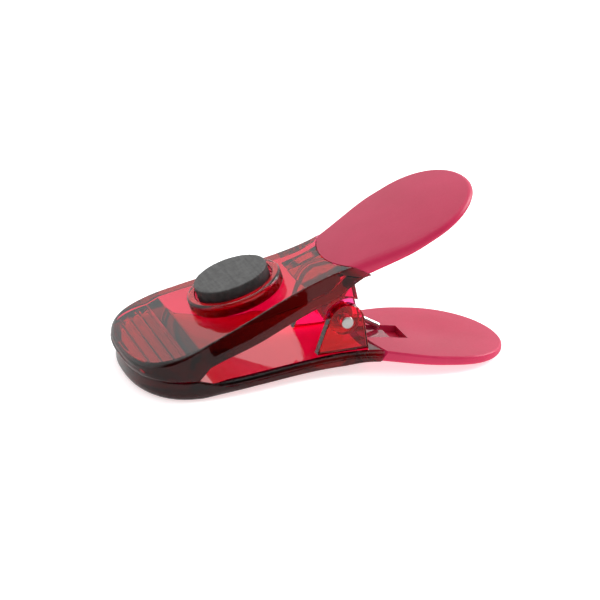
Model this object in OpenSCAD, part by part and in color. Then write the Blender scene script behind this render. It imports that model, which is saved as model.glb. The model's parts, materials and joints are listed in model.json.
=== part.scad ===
// Magnetic spring clip: two arms on a pin, held shut by a torsion spring, with a disc magnet
// in a cup on the upper arm. It lies shut on a table, nose towards -X and grips towards +X.

/* [Plan of the arms] */
// Nose tip of the upper arm, ahead of the pin
nose_reach = 51.6; // [48:0.1:56]
// Widest part of the nose, ahead of the pin
nose_widest = 39; // [37:0.5:41]
// Width across the nose
nose_width = 41.6; // [37:0.2:46]
// Fullness of the nose's corners, where 2 is an ellipse
nose_fullness = 2.4; // [2:0.1:3]
// Width across the waist, beside the pin
waist_width = 25.4; // [24.4:0.2:29]
// Width across the grips
grip_width = 36; // [32:0.2:40]
// Where the grips reach their full width, behind the pin
grip_flare = 22; // [19:0.5:24]
// Where the grips start to round off, behind the pin
grip_shoulder = 25; // [24:0.5:28]
// Tip of the upper grip, behind the pin along the upper arm
upper_reach = 41; // [37:0.1:45]
// Tip of the lower grip, behind the pin
lower_tail = 42.1; // [38:0.1:46]

/* [Upper arm] */
// Lean of the upper arm when shut, rising towards the grips
lean = 18.6; // [17:0.1:20]
// Top of the upper arm above the pin, square to the arm
upper_top = 13.6; // [13:0.1:15]
// Thickness of the upper arm
arm_depth = 5.3; // [4.8:0.1:5.8]
// Depth of the notch for the spring's leg, at the tail
leg_notch = 1.2; // [1:0.1:1.6]

/* [Lower arm] */
// Inner face of the lower arm, below the pin
floor_drop = 7.5; // [7.2:0.1:8]
// Thickness of the lower arm
plate = 2.8; // [2.4:0.1:3.2]
// Rise of the inner face where it meets the grip
tail_rise = 0.5; // [0.3:0.1:0.8]
// Where that rise starts, ahead of the pin
rise_start = 10; // [8:0.5:14]
// Underside of the nose, below the underside of the arm
keel = 0.8; // [0.4:0.1:1.4]
// Where the nose's underside is at its full depth, ahead of the pin
keel_flat = 38; // [34:0.5:40]
// Where the nose's underside starts to drop, ahead of the pin
keel_start = 26; // [20:0.5:30]
// Radius under the nose tip
nose_round = 2.4; // [1.4:0.1:3]
// Space between the table and the lower grip while the nose lies flat
table_gap = 0.3; // [0.1:0.1:0.6]

/* [Jaws] */
// Bite line of the shut jaws, below the pin
bite_drop = 6.4; // [6:0.1:7]
// Gap between the shut jaws
bite_gap = 0.1; // [0.05:0.05:0.3]
// Back edge of the bite, ahead of the pin
bite_back = 39.1; // [38:0.1:41]
// Length of the slope behind the bite
bite_slope = 3.4; // [2.6:0.1:4]
// Number of grooves across each bite
groove_count = 4; // [3:1:4]
// Pitch of the teeth along the bite
tooth_pitch = 2.8; // [2.4:0.1:3]
// Thickness of a tooth
tooth = 0.6; // [0.5:0.1:0.9]
// Depth of the grooves in the lower bite
tooth_depth = 0.5; // [0.3:0.1:0.8]
// Plastic left round the grooves
wall = 1.8; // [1.4:0.1:2.4]

/* [Grips] */
// Seam of the upper grip on the centre line, behind the pin
upper_seam = 3.1; // [2.6:0.1:4]
// Seam of the lower grip on the centre line, behind the pin
lower_seam = 4.8; // [4.2:0.1:6]
// Radius of the seams in plan
seam_radius = 40; // [34:1:50]
// Slant of the seams through the thickness
seam_slant = 27; // [15:1:30]
// Bend of the upper grip above its arm
upper_bend = 7.6; // [6:0.1:9]
// Droop of the lower grip below its arm
lower_droop = 6; // [5:0.1:7]
// Thickness of the upper grip at its seam
upper_grip_root = 3.9; // [3.6:0.1:4.4]
// Thickness of the upper grip at its tip
upper_grip_tip = 1.7; // [1.5:0.1:2.4]
// Inner face of the lower grip at its seam, below the pin
lower_grip_drop = 6.4; // [6:0.1:6.9]
// Thickness of the lower grip at its seam
lower_grip_root = 3.2; // [2.9:0.1:3.6]
// Thickness of the lower grip at its tip
lower_grip_tip = 2.7; // [2.4:0.1:3]
// Crown across the outer faces of the grips
crown = 0.5; // [0.3:0.1:0.9]
// Length over which a grip thins out to its tip
tip_run = 8; // [6:0.5:10]
// Width of the arms' tongues inside the grips
tongue_width = 22; // [18:0.5:23]
// End of the tongues, behind the pin
tongue_reach = 32; // [28:0.5:35]
// Thickness of the upper tongue
upper_tongue_height = 1.1; // [0.9:0.1:1.2]
// Thickness of the lower tongue
lower_tongue_height = 1.6; // [1.4:0.1:1.7]
// Depth of the tongues under the inner faces of the grips
tongue_cover = 0.7; // [0.5:0.05:0.75]
// How far the roots of the tongues reach into the arms, ahead of the seams
tongue_root = 0.3; // [0.2:0.05:0.6]
// End of the spring slot, behind the pin
slot_end = 17.6; // [16.5:0.1:19]
// End of the spring's seat in the slot, behind the pin
slot_step = 13.6; // [13.4:0.1:14.4]
// Depth of the slot behind the spring's seat
slot_depth = 1.9; // [1.6:0.1:2]

/* [Hinge] */
// Diameter of the pin
pin_diameter = 3; // [2.6:0.1:3.4]
// How far each pin end stands out of its ear
pin_proud = 0.3; // [0:0.05:0.5]
// Radial clearance of the pin in the upper arm
pin_clearance = 0.05; // [0.02:0.01:0.1]
// Span over the outer faces of the ears
ear_span = 21.6; // [20.8:0.1:22.2]
// Thickness of an ear
ear = 2.8; // [2.4:0.1:3.2]
// Radius of an ear's round top
ear_radius = 4.4; // [4:0.1:4.8]
// Front corner of an ear's foot, ahead of the pin
ear_front = 7.3; // [6.6:0.1:7.8]
// Back corner of an ear's foot, behind the pin
ear_back = 5.7; // [5.2:0.1:6.2]
// Side clearance between an ear and the hinge block beside it
side_gap = 0.25; // [0.15:0.05:0.4]
// Thickness of the hinge block where the pin passes
lug = 2.75; // [2.4:0.05:3]
// Radius of the hinge block round the pin
lug_radius = 3.8; // [3.4:0.1:4.2]
// Clearance between a hinge block's cheek and the ear's round top
cheek_gap = 1.6; // [1:0.1:2]
// Front corner of the hinge blocks inside the arm, ahead of the pin
block_front = 7.9; // [7:0.1:9]
// Back corner of the hinge blocks inside the arm, behind the pin
block_back = 5.2; // [4.6:0.1:5.4]
// Depth of those corners under the top of the arm
block_sink = 0.95; // [0.6:0.05:1.4]

/* [Spring] */
// Diameter of the spring wire
wire = 1.4; // [1.1:0.05:1.5]
// Clearance between the coil and the pin
coil_gap = 0.5; // [0.3:0.05:0.7]
// Room between the coil and the hinge block beside it
coil_room = 0.6; // [0.4:0.05:0.7]
// Whole turns of the coil
coil_turns = 3; // [2:1:3]
// Room between a leg and the side of the slot
leg_room = 0.1; // [0.05:0.05:0.3]
// Gap between a leg's end and the face it bears on
leg_gap = 0.05; // [0.02:0.01:0.1]
// End of the lower leg, behind the pin
lower_leg = 13; // [11.5:0.1:13.2]
// Knee of the lower leg, behind the pin
knee_back = 7.5; // [6.5:0.1:8.5]
// Knee of the lower leg, below the pin
knee_drop = 4.2; // [3.8:0.1:4.6]
// End of the upper leg, behind the pin along the upper arm
upper_leg = 8; // [7.6:0.1:9]

/* [Magnet] */
// Centre of the magnet, ahead of the pin
magnet_back = 20.7; // [19.5:0.1:22]
// Diameter of the magnet
magnet_diameter = 18; // [16:0.1:19]
// Thickness of the magnet
magnet_height = 4; // [3:0.1:5]
// Chamfer on the magnet's edges
magnet_chamfer = 0.3; // [0.1:0.05:0.5]
// Gap round the magnet in its cup
magnet_gap = 0.5; // [0.3:0.05:0.8]
// Thickness of the glue under the magnet
glue = 0.15; // [0.1:0.05:0.3]
// Glue's edge, inside the magnet's edge
glue_inset = 0.4; // [0.3:0.1:1]
// Thickness of the cup's floor
cup_floor = 1.45; // [1.2:0.05:1.8]
// Height of the cup's rim above the arm
cup_height = 3.2; // [2.8:0.1:3.8]
// Thickness of the cup's rim
cup_wall = 2.1; // [1.6:0.1:2.4]
// Height of the groove under the cup's edge
cup_groove = 0.35; // [0.2:0.05:0.5]
// Depth of that groove
groove_depth = 0.4; // [0.2:0.05:0.6]
// Diameter of the spigot that holds the cup in the upper arm
spigot_diameter = 8; // [6:0.5:10]
// Depth of that spigot
spigot_depth = 1.9; // [1.4:0.1:2.4]

/* [Hidden] */
$fn = 96;

// Colours
clear_red = [0.80, 0.05, 0.20, 0.7];
grip_pink = [0.80, 0.32, 0.44];
ferrite = [0.36, 0.37, 0.36];
steel = [0.82, 0.82, 0.80];
glue_grey = [0.75, 0.73, 0.68];

// A span longer than the clip, for cuts that pass right through, and a hair of overlap for joins
past = nose_reach + lower_tail + nose_width;
hair = 0.01;

// The jaws: the bite of each arm stands half the gap from the bite line
upper_bite = -bite_drop + bite_gap/2;
lower_bite = -bite_drop - bite_gap/2;
lower_reach = nose_reach/cos(lean) - bite_drop*tan(lean);
arm_foot = upper_top - arm_depth;
groove = tooth_pitch - tooth;

// The lower arm
underside = floor_drop + plate;
keel_drop = underside + keel;
tail_floor = floor_drop - tail_rise;

// The hinge
ear_outer = ear_span/2;
ear_inner = ear_outer - ear;
lug_outer = ear_inner - side_gap;
lug_inner = lug_outer - lug;
cheek_radius = ear_radius + cheek_gap;
block_top = upper_top - block_sink;
arm_tail = block_back + arm_depth;
pin_radius = pin_diameter/2;
pin_half = ear_outer + pin_proud;

// The grips, outwards from the pin in the frame of their own arm:
// outer level at the seam, seam, bend, thickness at the seam, thickness at the tip, tip
upper_pad = [upper_top, upper_seam, upper_bend, upper_grip_root, upper_grip_tip, upper_reach];
lower_pad = [lower_grip_drop + lower_grip_root, lower_seam, lower_droop, lower_grip_root,
    lower_grip_tip, lower_tail];

// The clip lies on the flat under its nose, with the lower grip just off the table, so it leans
nose_rest = lower_reach - nose_round;
rest_lean = max([for (p = tip_line(lower_pad))
    atan((p[1] + table_gap - keel_drop)/(p[0] + nose_rest))]);
foot_back = keel_drop + (nose_rest - keel_flat)*tan(rest_lean);
pin_height = keel_drop*cos(rest_lean) + nose_rest*sin(rest_lean);
front_end = nose_reach*cos(lean + rest_lean) + upper_top*sin(lean + rest_lean);
tip_low = pad_out(lower_pad, lower_tail) - lower_grip_tip/2;
back_end = lower_tail*cos(rest_lean) + tip_low*sin(rest_lean);
pin_place = [(front_end - back_end)/2, 0, pin_height];

// The spring: both legs end against the faces they bear on
coil_radius = pin_radius + coil_gap + wire/2;
leg_side = lug_inner - coil_room - wire/2;
slot_width = 2*(leg_side + wire/2 + leg_room);
lower_end = [lower_leg, (leg_gap + wire/2)/cos(pad_lean(lower_pad))
    - pad_in(lower_pad, lower_leg) - tongue_cover];
knee = [knee_back, -knee_drop];
upper_end = turned([upper_leg, pad_in(upper_pad, upper_leg)
    - (leg_gap + wire/2)/cos(pad_lean(upper_pad))], lean);
lower_tangent = heading(knee) - acos(coil_radius/norm(knee));
upper_tangent = heading(upper_end) + acos(coil_radius/norm(upper_end));
coil_angle = lower_tangent + 360 - upper_tangent + 360*coil_turns;

// The magnet and its cup
magnet_radius = magnet_diameter/2;
cup_bore = magnet_radius + magnet_gap;
cup_radius = cup_bore + cup_wall;
magnet_seat = cup_floor + glue;

// A smooth step from 0 to 1
function smooth(t) = t*t*(3 - 2*t);

// Direction of a point from the origin, and a point turned about it
function heading(p) = atan2(p[1], p[0]);
function turned(p, angle) = [p[0]*cos(angle) - p[1]*sin(angle), p[0]*sin(angle) + p[1]*cos(angle)];

// Where a straight line from a point touches a circle about the origin
function touch(p, radius, side) = let (a = heading(p) + side*acos(radius/norm(p)))
    radius*[cos(a), sin(a)];

// Outer face, thickness and inner face of a grip at a place along it, the line on which its
// outer face thins out to the tip, and the lean of its inner face
function pad_out(pad, s) = pad[0] + tan(pad[2])*(s - pad[1]);
function pad_thickness(pad, s) = pad[3] + (pad[4] - pad[3])*(s - pad[1])/(pad[5] - pad[1]);
function pad_in(pad, s) = pad_out(pad, s) - pad_thickness(pad, s);
function tip_line(pad) = let (run = pad[5] - tip_run, thin = pad[5] - tip_run/3)
    [[run, pad_out(pad, run)], [thin, pad_out(pad, thin) - pad[4]/9]];
function pad_lean(pad) = atan(pad_in(pad, pad[1] + 1) - pad_in(pad, pad[1]));

// Half width of the arms and grips at a place along them, up to the nose and the round of the tip
function half_width(s) = s < 0
    ? (waist_width + (nose_width - waist_width)*smooth(min(1, -s/nose_widest)))/2
    : (waist_width + (grip_width - waist_width)*smooth(min(1, s/grip_flare)))/2;

// One side of the arms between two places
function flank(from, to, steps, inset, side) = [for (i = [0:steps])
    let (s = from + (to - from)*i/steps) [s, side*(half_width(s) - inset)]];

// A point on a quarter of a rounded outline, where fullness 2 gives an ellipse
function full_round(a, fullness) = [pow(cos(a), 2/fullness), pow(sin(a), 2/fullness)];

// Height of the upper bite in the upper arm's frame, and a place of the lower arm's frame along it
function bite_level(s) = (upper_bite - s*sin(lean))/cos(lean);
function bite_place(x) = x*cos(lean) + upper_bite*sin(lean);

// Plan of an arm's nose and waist, up to a place behind the pin
module arm_plan(reach, inset, tail) {
    run = reach - nose_widest - inset;
    half = nose_width/2 - inset;
    corner = [for (a = [0:7.5:90]) full_round(a, nose_fullness)];
    near_nose = [for (i = [len(corner) - 1:-1:1]) [-nose_widest - run*corner[i][0], -half*corner[i][1]]];
    far_nose = [for (c = corner) [-nose_widest - run*c[0], half*c[1]]];
    far_side = flank(-nose_widest + 1, tail, 16, inset, 1);
    near_side = flank(tail, -nose_widest + 1, 16, inset, -1);
    polygon(concat(near_nose, far_nose, far_side, near_side));
}

// Plan of a grip, from ahead of its seam to its tip
module grip_plan(reach) {
    tip = [for (a = [90:-9:-90])
        [grip_shoulder + (reach - grip_shoulder)*cos(a), grip_width/2*sin(a)]];
    far_side = flank(0, grip_shoulder - 0.5, 12, 0, 1);
    near_side = flank(grip_shoulder - 0.5, 0, 12, 0, -1);
    polygon(concat(far_side, tip, near_side));
}

// A side profile drawn in X and Z, extruded across the clip
module across(from, to) {
    translate([0, to, 0]) rotate([90, 0, 0]) linear_extrude(to - from) children();
}

// A plan drawn in X and Y, extruded well past the clip, or up to a level
module upright() {
    translate([0, 0, -past/2]) linear_extrude(past) children();
}

module below(level) {
    translate([0, 0, level - past]) linear_extrude(past) children();
}

module both_sides() {
    children();
    mirror([0, 1, 0]) children();
}

// The space behind a grip's seam, grown by a margin: a cone that narrows towards the inner face
module behind_seam(pad, margin) {
    reach = arm_depth*3;
    spread = reach*tan(seam_slant);
    translate([pad[1] + seam_radius, 0, pad[0] - reach])
        cylinder(h = 2*reach, r1 = seam_radius - spread + margin,
            r2 = seam_radius + spread + margin, $fn = 360);
}

// A plate that is round about the pin and runs out to two corners
module round_plate(radius, left, right) {
    circle(radius);
    polygon([touch(left, radius, 1), left, right, touch(right, radius, -1)]);
}

// The pin's bore, right through
module pin_hole(radius) {
    rotate([90, 0, 0]) cylinder(h = 2*pin_half + 2, r = radius, center = true);
}

// Frames: the clip at rest, the upper arm in it, and the lower arm turned upside down
module at_rest() {
    translate(pin_place) rotate([0, -rest_lean, 0]) children();
}

module upper_frame() {
    at_rest() rotate([0, -lean, 0]) children();
}

module upside_down() {
    mirror([0, 0, 1]) children();
}

// Tongue of an arm inside its grip, under the grip's inner face
module tongue_slab(pad, height) {
    front = pad[1] - wall/2;
    front_level = pad_in(pad, front) + tongue_cover;
    back_level = pad_in(pad, tongue_reach) + tongue_cover;
    intersection() {
        across(-tongue_width/2, tongue_width/2)
            polygon([[front, front_level], [tongue_reach, back_level],
                [tongue_reach, back_level + height], [front, front_level + height]]);
        behind_seam(pad, tongue_root);
    }
}

// Body of a grip in the frame of its arm, with the outer face upwards
module grip_body(pad) {
    reach = pad[5];
    tip = tip_line(pad);
    crown_radius = (pow(grip_width/2, 2) + pow(crown, 2))/(2*crown);
    side = [
        [0, pad_in(pad, 0)], [reach, pad_in(pad, reach)], [reach, pad_out(pad, reach) - pad[4]/2],
        tip[1], tip[0], [0, pad_out(pad, 0)]];
    intersection() {
        upright() grip_plan(reach);
        across(-past/2, past/2) polygon(side);
        behind_seam(pad, 0);
        translate([pad[1], 0, pad[0]]) rotate([0, 90 - pad[2], 0]) translate([crown_radius, 0, 0])
            cylinder(h = past, r = crown_radius, center = true, $fn = 1440);
    }
}

// The spring's slot in the lower grip: shallow over the spring's seat and deeper behind it
module slot_part(from, to, depth) {
    across(-slot_width/2, slot_width/2)
        polygon([[from, 0], [to, 0], [to, pad_in(lower_pad, to) + depth],
            [from, pad_in(lower_pad, from) + depth]]);
}

module spring_slot() {
    slot_part(lower_seam - wall, slot_step + hair, tongue_cover + hair);
    slot_part(slot_step, slot_end, slot_depth);
}

module upper_tongue() {
    tongue_slab(upper_pad, upper_tongue_height);
}

module lower_tongue() {
    difference() {
        tongue_slab(lower_pad, lower_tongue_height);
        slot_part(slot_step, slot_end, slot_depth);
    }
}

// Body of the upper arm: thick plastic with a toothed bite and a notch for the spring's leg
module upper_body() {
    tail_foot = upper_seam + arm_depth;
    side = [
        [-past/2, upper_top], [past/2, upper_top], [past/2, pad_in(upper_pad, tail_foot)],
        [tail_foot, pad_in(upper_pad, tail_foot)], [block_back, arm_foot],
        [-bite_back + bite_slope, arm_foot], [-bite_back, bite_level(-bite_back)],
        [-past/2, bite_level(-past/2)]];
    difference() {
        intersection() {
            upright() arm_plan(nose_reach, 0, arm_tail);
            across(-past/2, past/2) polygon(side);
        }
        intersection() {
            upright() arm_plan(nose_reach, wall, arm_tail);
            upper_grooves();
        }
        translate([0, -slot_width/2, -past]) cube([past, slot_width, past + arm_foot + leg_notch]);
    }
}

// Grooves across the upper bite: their floors run along the arm, so they deepen towards the pin
module upper_grooves() {
    for (i = [1:groove_count])
        let (front = bite_place(-bite_back - i*tooth_pitch))
        translate([front, -past/2, bite_level(front) - past]) cube([groove*cos(lean), past, past]);
}

// Grooves across the lower bite, facing them
module lower_grooves() {
    for (i = [1:groove_count])
        translate([-bite_back - i*tooth_pitch, -past/2, lower_bite - tooth_depth])
            cube([groove, past, past]);
}

// One hinge block: a lug on the pin, and a cheek that clears the ear beside it
module hinge_block() {
    front = [-block_front, block_top];
    back = [block_back, block_top];
    across(lug_inner, lug_outer) round_plate(lug_radius, front, back);
    across(lug_outer - hair, ear_outer) difference() {
        round_plate(lug_radius, front, back);
        circle(cheek_radius);
    }
}

module upper_arm() {
    color(clear_red) upper_frame() difference() {
        union() {
            difference() {
                union() {
                    upper_body();
                    both_sides() hinge_block();
                }
                behind_seam(upper_pad, 0);
            }
            upper_tongue();
        }
        pin_hole(pin_radius + pin_clearance);
        translate([-magnet_back, 0, upper_top - spigot_depth])
            cylinder(h = 2*spigot_depth, r = spigot_diameter/2);
    }
}

module upper_grip() {
    color(grip_pink) upper_frame() difference() {
        grip_body(upper_pad);
        upper_tongue();
    }
}

// Side profile of the lower arm: bite, floor, rise to the tail, flat underside and foot
module lower_side() {
    under_tip = [for (a = [0:15:90])
        [-lower_reach + nose_round*(1 - sin(a)), -keel_drop + nose_round*(1 - cos(a))]];
    polygon(concat(
        [[-past/2, lower_bite], [-bite_back, lower_bite], [-bite_back + bite_slope, -floor_drop],
            [-rise_start, -floor_drop], [lower_seam, -tail_floor], [past/2, -tail_floor],
            [past/2, -underside], [-keel_start, -underside], [-keel_flat, -foot_back]],
        under_tip,
        [[-past/2, -keel_drop + nose_round]]));
}

module lower_plate() {
    difference() {
        intersection() {
            upright() arm_plan(lower_reach, 0, arm_tail);
            across(-past/2, past/2) lower_side();
        }
        intersection() {
            upright() arm_plan(lower_reach, wall, arm_tail);
            lower_grooves();
        }
    }
}

module ear_plate() {
    foot = floor_drop + plate/2;
    across(ear_inner, ear_outer) round_plate(ear_radius, [ear_back, -foot], [-ear_front, -foot]);
}

module lower_arm() {
    color(clear_red) at_rest() difference() {
        union() {
            difference() {
                union() {
                    lower_plate();
                    both_sides() ear_plate();
                }
                upside_down() behind_seam(lower_pad, 0);
            }
            upside_down() lower_tongue();
        }
        pin_hole(pin_radius);
    }
}

module lower_grip() {
    color(grip_pink) at_rest() upside_down() difference() {
        grip_body(lower_pad);
        spring_slot();
        lower_tongue();
    }
}

module pivot_pin() {
    color(steel) at_rest() rotate([90, 0, 0]) cylinder(h = 2*pin_half, r = pin_radius, center = true);
}

// Middle line of the spring, from the end of the lower leg to the end of the upper leg
function coil_point(t) = let (a = lower_tangent - coil_angle*t)
    [coil_radius*cos(a), leg_side*(1 - 2*t), coil_radius*sin(a)];

function spring_line(steps) = concat(
    [[lower_end[0], leg_side, lower_end[1]], [knee[0], leg_side, knee[1]]],
    [for (i = [0:steps]) coil_point(i/steps)],
    [[upper_end[0], -leg_side, upper_end[1]]]);

// One ring of a tube round a line that never runs straight across the clip
function unit(v) = norm(v) > 0 ? v/norm(v) : v;
function tube_ring(line, i, radius, sides) = let (
    ahead = line[min(i + 1, len(line) - 1)],
    behind = line[max(i - 1, 0)],
    along = unit(unit(ahead - line[i]) + unit(line[i] - behind)),
    out = unit(cross(along, [0, 1, 0])),
    up = cross(out, along))
    [for (j = [0:sides - 1]) line[i] + radius*(cos(360*j/sides)*out + sin(360*j/sides)*up)];

module tube(line, radius, sides) {
    last = len(line) - 1;
    points = [for (i = [0:last]) each tube_ring(line, i, radius, sides)];
    walls = [for (i = [0:last - 1]) for (j = [0:sides - 1])
        let (a = i*sides + j, b = i*sides + (j + 1) % sides)
        each [[a, b, b + sides], [a, b + sides, a + sides]]];
    first_cap = [for (j = [1:sides - 2]) [0, j + 1, j]];
    last_cap = [for (j = [1:sides - 2]) [last*sides, last*sides + j, last*sides + j + 1]];
    polyhedron(points, concat(walls, first_cap, last_cap));
}

// Least gap of the spring to itself, measured on points of its coil at least half a turn apart
function own_gap(line, skip) = min([for (i = [0:len(line) - 1 - skip])
    for (j = [i + skip:len(line) - 1]) norm(line[i] - line[j])]) - wire;

module torsion_spring() {
    rings = 8;
    finer = 6;
    curl_steps = round(rings*coil_angle/360);
    fine_steps = finer*curl_steps;
    fine_coil = [for (i = [0:fine_steps]) coil_point(i/fine_steps)];
    echo(least_gap_of_the_spring_to_itself = own_gap(fine_coil, rings*finer/2));
    color(steel) at_rest() tube(spring_line(curl_steps), wire/2, 6);
}

module on_roof() {
    upper_frame() translate([-magnet_back, 0, upper_top]) children();
}

module magnet_cup() {
    color(clear_red) on_roof() rotate_extrude() polygon([
        [0, -spigot_depth], [spigot_diameter/2, -spigot_depth], [spigot_diameter/2, 0],
        [cup_radius - groove_depth, 0], [cup_radius - groove_depth, cup_groove],
        [cup_radius, cup_groove], [cup_radius, cup_height], [cup_bore, cup_height],
        [cup_bore, cup_floor], [0, cup_floor]]);
}

module magnet_adhesive() {
    color(glue_grey) on_roof() translate([0, 0, cup_floor])
        cylinder(h = glue, r = magnet_radius - glue_inset);
}

module magnet() {
    top = magnet_seat + magnet_height;
    color(ferrite) on_roof() rotate_extrude() polygon([
        [0, magnet_seat], [magnet_radius - magnet_chamfer, magnet_seat],
        [magnet_radius, magnet_seat + magnet_chamfer], [magnet_radius, top - magnet_chamfer],
        [magnet_radius - magnet_chamfer, top], [0, top]]);
}

lower_arm();
lower_grip();
upper_arm();
upper_grip();
pivot_pin();
torsion_spring();
magnet_cup();
magnet_adhesive();
magnet();
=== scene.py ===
import json
import math
from collections import namedtuple

import bmesh
import bpy
import numpy as np
from mathutils import Matrix, Vector


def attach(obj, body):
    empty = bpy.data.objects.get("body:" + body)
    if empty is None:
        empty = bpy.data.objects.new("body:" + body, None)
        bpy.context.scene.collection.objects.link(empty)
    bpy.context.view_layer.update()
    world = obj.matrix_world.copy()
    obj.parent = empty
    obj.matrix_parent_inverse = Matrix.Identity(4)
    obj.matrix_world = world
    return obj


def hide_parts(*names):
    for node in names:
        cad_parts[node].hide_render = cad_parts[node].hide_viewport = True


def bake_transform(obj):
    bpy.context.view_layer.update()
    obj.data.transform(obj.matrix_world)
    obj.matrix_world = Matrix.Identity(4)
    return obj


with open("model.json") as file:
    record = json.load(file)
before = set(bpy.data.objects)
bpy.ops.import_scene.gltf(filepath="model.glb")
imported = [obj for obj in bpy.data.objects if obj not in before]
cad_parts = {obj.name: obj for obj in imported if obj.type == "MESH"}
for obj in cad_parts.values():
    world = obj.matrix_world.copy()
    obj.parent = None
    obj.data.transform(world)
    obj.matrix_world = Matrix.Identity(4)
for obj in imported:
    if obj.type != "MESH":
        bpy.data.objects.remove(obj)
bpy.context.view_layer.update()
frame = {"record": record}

# Sizes are in millimetres, in the frame of each arm: the pin's axis is the origin, X runs from nose to grip
MM = 0.001
QUARTER = math.pi/2
LEAN = math.radians(18.6)

# Outline of both arms, from above
NOSE_REACH = 51.6
NOSE_WIDEST = 39.0
NOSE_WIDTH = 41.6
NOSE_FULLNESS = 2.4
WAIST = 25.4
NOSE_STEPS = 44
FLANK_STEPS = 72

# Upper arm: roof, foot, rounded edges and the flare of its nose
UPPER_TOP = 13.6
ARM_DEPTH = 5.3
ARM_FOOT = UPPER_TOP - ARM_DEPTH
WALL_DROP = 0.8
DROP_START, DROP_RUN = -34.0, 14.0
FOOT_RISE = -1.0
UPPER_FULLNESS = 2.7
BASE_FLARE, CREST_FLARE, CREST_INSET = 0.4, 0.1, 0.5
FLARE_START, FLARE_RUN = -31.0, 8.0
ROOF_EASE, ROOF_EASE_NOSE = 0.4, 1.1
FOOT_EASE, FOOT_EASE_NOSE = 0.22, 0.5
EASE_START, EASE_RUN = -32.0, 15.0
LIP_HEIGHT, LIP_CLEAR, LIP_SHARE = 1.5, 0.3, 0.6
FOOT_CLEAR = 0.1
WALL_STEPS = 5
CUT_LEVEL = -5.0
NOTCH_START, NOTCH_END = 2.8, 20.0
LEG_NOTCH = 1.2

# Bite: the grooves of the two jaws
BITE_BACK = 39.1
BITE_SLOPE = 3.4
BITE_FOOT = -BITE_BACK + BITE_SLOPE
BITE_DROP = 6.4
BITE_GAP = 0.1
TOOTH_PITCH = 2.8
TOOTH = 0.6
TOOTH_DEPTH = 0.5
GROOVE_COUNT = 4
GROOVE = TOOTH_PITCH - TOOTH
GROOVE_SLANT = 5.0
GROOVE_LEAST = 0.2
UPPER_RIM = 1.3
LOWER_RIM = 1.8
UPPER_BITE = -BITE_DROP + BITE_GAP/2
LOWER_BITE = -BITE_DROP - BITE_GAP/2

# Lower arm: plate, keel under the nose, shoulder and ledge along its sides
LOWER_REACH = NOSE_REACH/math.cos(LEAN) - BITE_DROP*math.tan(LEAN)
FLOOR_DROP = 7.5
PLATE = 2.8
TAIL_RISE = 0.5
RISE_START = 10.0
UNDERSIDE = FLOOR_DROP + PLATE
TAIL_LIFT, LIFT_START, LIFT_RUN = 0.6, -2.0, 8.0
KEEL_DROP = UNDERSIDE + 0.8
KEEL_FLAT = 38.0
KEEL_START = 24.5
NOSE_ROUND = 2.4
NOSE_REST = LOWER_REACH - NOSE_ROUND
BOTTOM_EASE, BOTTOM_EASE_NOSE = 0.45, NOSE_ROUND - 0.95
BOTTOM_START, BOTTOM_RUN = 2 - KEEL_START, 12.0
SHOULDER, SHOULDER_LOSS, SHOULDER_FADE = 1.35, 0.85, 5.0
LEDGE, LEDGE_STEP = 0.3, 0.12
TONGUE_START, TONGUE_THICK, TONGUE_HALF = 5.6, 1.6, 11.0
TONGUE_COVER = 0.7

# Hinge: ears of the lower arm, blocks of the upper arm (lug and cheek) and the line where these leave it
EAR_OUTER = 10.8
EAR_INNER = 8.0
EAR_RADIUS = 4.4
EAR_FRONT = 7.9
EAR_BACK = 5.7
EAR_EASE = 0.35
LUG_INNER = 5.0
LUG_OUTER = 7.75
LUG_RADIUS = 3.8
LUG_EASE = 0.3
CHEEK_RADIUS = 6.0
CHEEK_LAP = 0.6
CHEEK_EASE = 0.25
BLOCK_FRONT = 7.9
BLOCK_BACK = 5.2
BLOCK_TOP = UPPER_TOP - 0.95
ARM_TAIL = BLOCK_BACK + ARM_DEPTH
WITNESS_STOPS = (-8.4, FOOT_RISE, BLOCK_BACK - 0.1)
WITNESS_HALF = 0.03
WITNESS_LAP = 0.4
RUNNING_FIT, PRESS_FIT = 0.05, 0.01
BORE_HALF, BORE_STEPS = 30.0, 96

# Pin and spring
PIN_RADIUS = 1.5
PIN_HALF = 11.1
PIN_EASE = 0.3
WIRE = 1.4
WIRE_SIDES = 20
WIRE_ENDS = ((0.15, 0.0), (0.04, 0.06), (0.0, 0.16))
COIL_RADIUS = 2.7
COIL_TURNS = 3
COIL_STEPS = 48
LEG_SIDE = 3.7
LEG_CLEAR = 0.05
LOWER_LEG_END, UPPER_LEG_END = 13.0, 8.0
KNEE = (7.5, -4.2)
KNEE_BEND = 1.2

# Cup, glue and magnet on the roof
MAGNET_BACK = 20.7
MAGNET_RADIUS = 9.0
MAGNET_HEIGHT = 4.0
MAGNET_CHAMFER = 0.3
MAGNET_EASE = 0.32
CUP_BORE = 9.5
CUP_RADIUS = 11.6
CUP_FLOOR = 1.45
CUP_HEIGHT = 3.2
CUP_LIFT = 0.02
CUP_STEP, CUP_STEP_TOP = 0.4, 0.3
CUP_SKIRT, CUP_SKIRT_EASE = 0.35, 0.22
RIM_OUT, RIM_IN = 0.7, 0.6
CUP_FLOOR_EASE = 0.2
GLUE = 0.15
GLUE_INSET, GLUE_ROUND, GLUE_MIDDLE, GLUE_CLEAR = 0.4, 0.06, 0.07, 0.001
GLUE_WAVES = ((0.10, 5, 0.6), (0.07, 11, 2.1), (0.04, 23, 0.0))

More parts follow.
